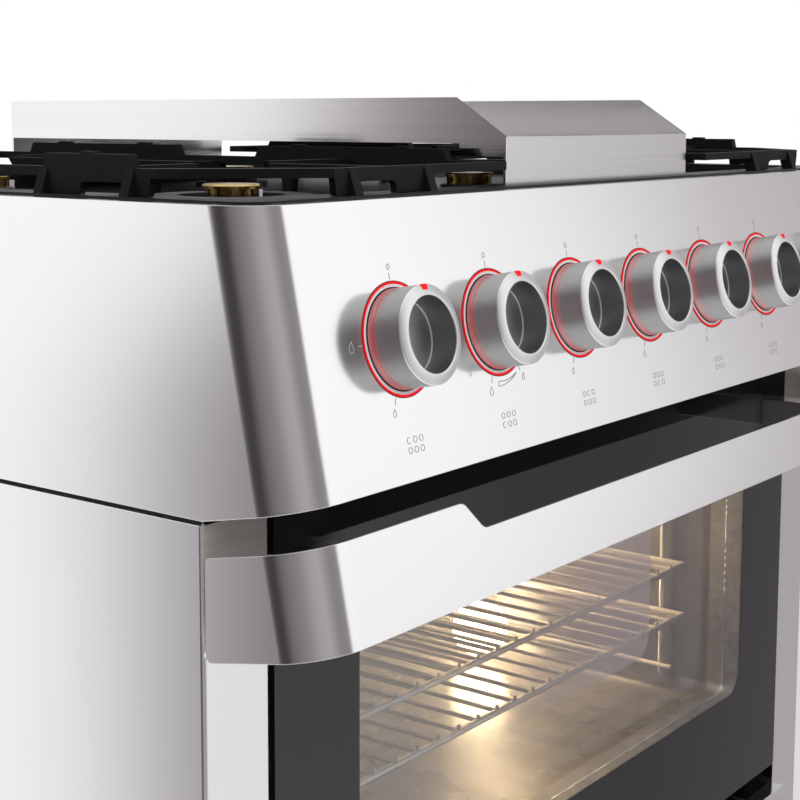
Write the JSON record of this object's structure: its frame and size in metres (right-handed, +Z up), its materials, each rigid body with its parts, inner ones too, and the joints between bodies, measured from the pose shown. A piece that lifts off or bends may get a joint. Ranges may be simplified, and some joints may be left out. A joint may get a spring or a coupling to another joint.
{
  "type": "range cooker",
  "caption": "Free-standing range cooker with a leaning wrap-round fascia, lit knobs, glass oven door with a wide handle band, gas hob with griddle, and a storage drawer.",
  "frame": {"origin": "on the floor, under the middle of the cooker's outline", "axes": "+Z up, the front towards -Y, +X to the right seen from the front"},
  "size_m": [0.9, 0.6526, 0.965],
  "materials": {
    "polished_steel": "near-mirror stainless",
    "brushed_steel": "satin stainless",
    "galvanised": "plain sheet",
    "foot_steel": "turned",
    "black_enamel": "vitreous enamel",
    "iron": "matt black",
    "burner_alloy": "cast, dark",
    "brass": "turned",
    "copper_pipe": "drawn pipe",
    "spark_ceramic": "glazed white",
    "light_ring": "translucent red",
    "knob_steel": "turned satin",
    "spindle_steel": "bright",
    "selector_plastic": "moulded",
    "wool": "mineral wool",
    "element_steel": "heat dulled",
    "lamp_glass": "frosted",
    "rack_chrome": "bright wire",
    "seal_rubber": "heat seal",
    "door_glass": "dark printed border",
    "clear_glass": "clear"
  },
  "bodies": {
    "chassis": {"control_fascia": "polished_steel", "side_panel_left": "brushed_steel", "side_panel_right": "brushed_steel", "back_panel": "galvanised", "base_tray": "galvanised", "feet": "foot_steel", "hob_pan": "black_enamel", "burner_cups": "burner_alloy", "burner_crowns": "brass", "burner_caps": "brass", "ignition_electrodes": "spark_ceramic", "light_rings": "light_ring", "gas_taps": "brass", "oven_selector": "selector_plastic", "gas_manifold": "galvanised", "gas_inlet": "galvanised", "burner_pipes": "copper_pipe", "oven_front_frame": "galvanised", "oven_liner": "black_enamel", "oven_insulation": "wool", "oven_deck": "galvanised", "fan_baffle": "black_enamel", "fan_motor": "galvanised", "ring_element": "element_steel", "grill_element": "element_steel", "base_element": "element_steel", "oven_lamp": "lamp_glass", "rack_guides": "rack_chrome", "door_gasket": "seal_rubber", "hinge_pins": "galvanised", "drawer_runners": "galvanised", "terminal_box": "galvanised"},
    "door": {"door_outer_glass": "door_glass", "door_middle_glass": "clear_glass", "door_inner_glass": "clear_glass", "door_frame": "galvanised", "door_band": "polished_steel", "band_brackets": "brushed_steel"},
    "drawer": {"drawer_front": "brushed_steel", "drawer_box": "galvanised"},
    "rack_lower": {"oven_rack_lower": "rack_chrome"},
    "rack_upper": {"oven_rack_upper": "rack_chrome"},
    "support_left": {"pan_support_left": "iron"},
    "support_right": {"pan_support_right": "iron"},
    "griddle": {"griddle": "brushed_steel"},
    "fan": {"fan_wheel": "galvanised"},
    "spindle_1": {"spindle_1": "spindle_steel"},
    "knob_1": {"knob_1": "knob_steel"},
    "spindle_2": {"spindle_2": "spindle_steel"},
    "knob_2": {"knob_2": "knob_steel"},
    "spindle_3": {"spindle_3": "spindle_steel"},
    "knob_3": {"knob_3": "knob_steel"},
    "spindle_4": {"spindle_4": "spindle_steel"},
    "knob_4": {"knob_4": "knob_steel"},
    "spindle_5": {"spindle_5": "spindle_steel"},
    "knob_5": {"knob_5": "knob_steel"},
    "spindle_6": {"spindle_6": "spindle_steel"},
    "knob_6": {"knob_6": "knob_steel"},
    "oven_control": {"knob_7": "knob_steel", "spindle_7": "spindle_steel"}
  },
  "joints": [
    {"name": "door_hinge", "type": "hinge", "parent": "chassis", "child": "door", "pos_m": [0, -0.20742, 0.305], "axis": [1, 0, 0], "range_deg": [0, 90]},
    {"name": "drawer_slide", "type": "slide", "parent": "chassis", "child": "drawer", "axis": [0, -1, 0], "range_m": [0, 0.29]},
    {"name": "rack_lower_slide", "type": "slide", "parent": "chassis", "child": "rack_lower", "axis": [0, -1, 0], "range_m": [0, 0.024]},
    {"name": "rack_upper_slide", "type": "slide", "parent": "chassis", "child": "rack_upper", "axis": [0, -1, 0], "range_m": [0, 0.024]},
    {"name": "support_left_lift", "type": "slide", "parent": "chassis", "child": "support_left", "axis": [0, 0, 1], "range_m": [0, 0.12]},
    {"name": "support_right_lift", "type": "slide", "parent": "chassis", "child": "support_right", "axis": [0, 0, 1], "range_m": [0, 0.12]},
    {"name": "griddle_lift", "type": "slide", "parent": "chassis", "child": "griddle", "axis": [0, 0, 1], "range_m": [0, 0.12]},
    {"name": "fan_spin", "type": "hinge", "parent": "chassis", "child": "fan", "pos_m": [0, 0.25788, 0.52752], "axis": [0, 1, 0], "continuous": true},
    {"name": "knob_1_turn", "type": "hinge", "parent": "chassis", "child": "spindle_1", "pos_m": [-0.335, -0.29141, 0.8138], "axis": [0, -0.9796, 0.2011], "range_deg": [0, 162]},
    {"name": "knob_1_push", "type": "slide", "parent": "spindle_1", "child": "knob_1", "axis": [0, 0.9796, -0.2011], "range_m": [0, 0.0032], "stiffness_N_per_m": 1500},
    {"name": "knob_2_turn", "type": "hinge", "parent": "chassis", "child": "spindle_2", "pos_m": [-0.229, -0.29141, 0.8138], "axis": [0, -0.9796, 0.2011], "range_deg": [0, 215]},
    {"name": "knob_2_push", "type": "slide", "parent": "spindle_2", "child": "knob_2", "axis": [0, 0.9796, -0.2011], "range_m": [0, 0.0032], "stiffness_N_per_m": 1500},
    {"name": "knob_3_turn", "type": "hinge", "parent": "chassis", "child": "spindle_3", "pos_m": [-0.123, -0.29141, 0.8138], "axis": [0, -0.9796, 0.2011], "range_deg": [0, 162]},
    {"name": "knob_3_push", "type": "slide", "parent": "spindle_3", "child": "knob_3", "axis": [0, 0.9796, -0.2011], "range_m": [0, 0.0032], "stiffness_N_per_m": 1500},
    {"name": "knob_4_turn", "type": "hinge", "parent": "chassis", "child": "spindle_4", "pos_m": [-0.017, -0.29141, 0.8138], "axis": [0, -0.9796, 0.2011], "range_deg": [0, 162]},
    {"name": "knob_4_push", "type": "slide", "parent": "spindle_4", "child": "knob_4", "axis": [0, 0.9796, -0.2011], "range_m": [0, 0.0032], "stiffness_N_per_m": 1500},
    {"name": "knob_5_turn", "type": "hinge", "parent": "chassis", "child": "spindle_5", "pos_m": [0.089, -0.29141, 0.8138], "axis": [0, -0.9796, 0.2011], "range_deg": [0, 162]},
    {"name": "knob_5_push", "type": "slide", "parent": "spindle_5", "child": "knob_5", "axis": [0, 0.9796, -0.2011], "range_m": [0, 0.0032], "stiffness_N_per_m": 1500},
    {"name": "knob_6_turn", "type": "hinge", "parent": "chassis", "child": "spindle_6", "pos_m": [0.195, -0.29141, 0.8138], "axis": [0, -0.9796, 0.2011], "range_deg": [0, 162]},
    {"name": "knob_6_push", "type": "slide", "parent": "spindle_6", "child": "knob_6", "axis": [0, 0.9796, -0.2011], "range_m": [0, 0.0032], "stiffness_N_per_m": 1500},
    {"name": "oven_knob_turn", "type": "hinge", "parent": "chassis", "child": "oven_control", "pos_m": [0.335, -0.29141, 0.8138], "axis": [0, 0.9796, -0.2011], "range_deg": [0, 300]}
  ]
}
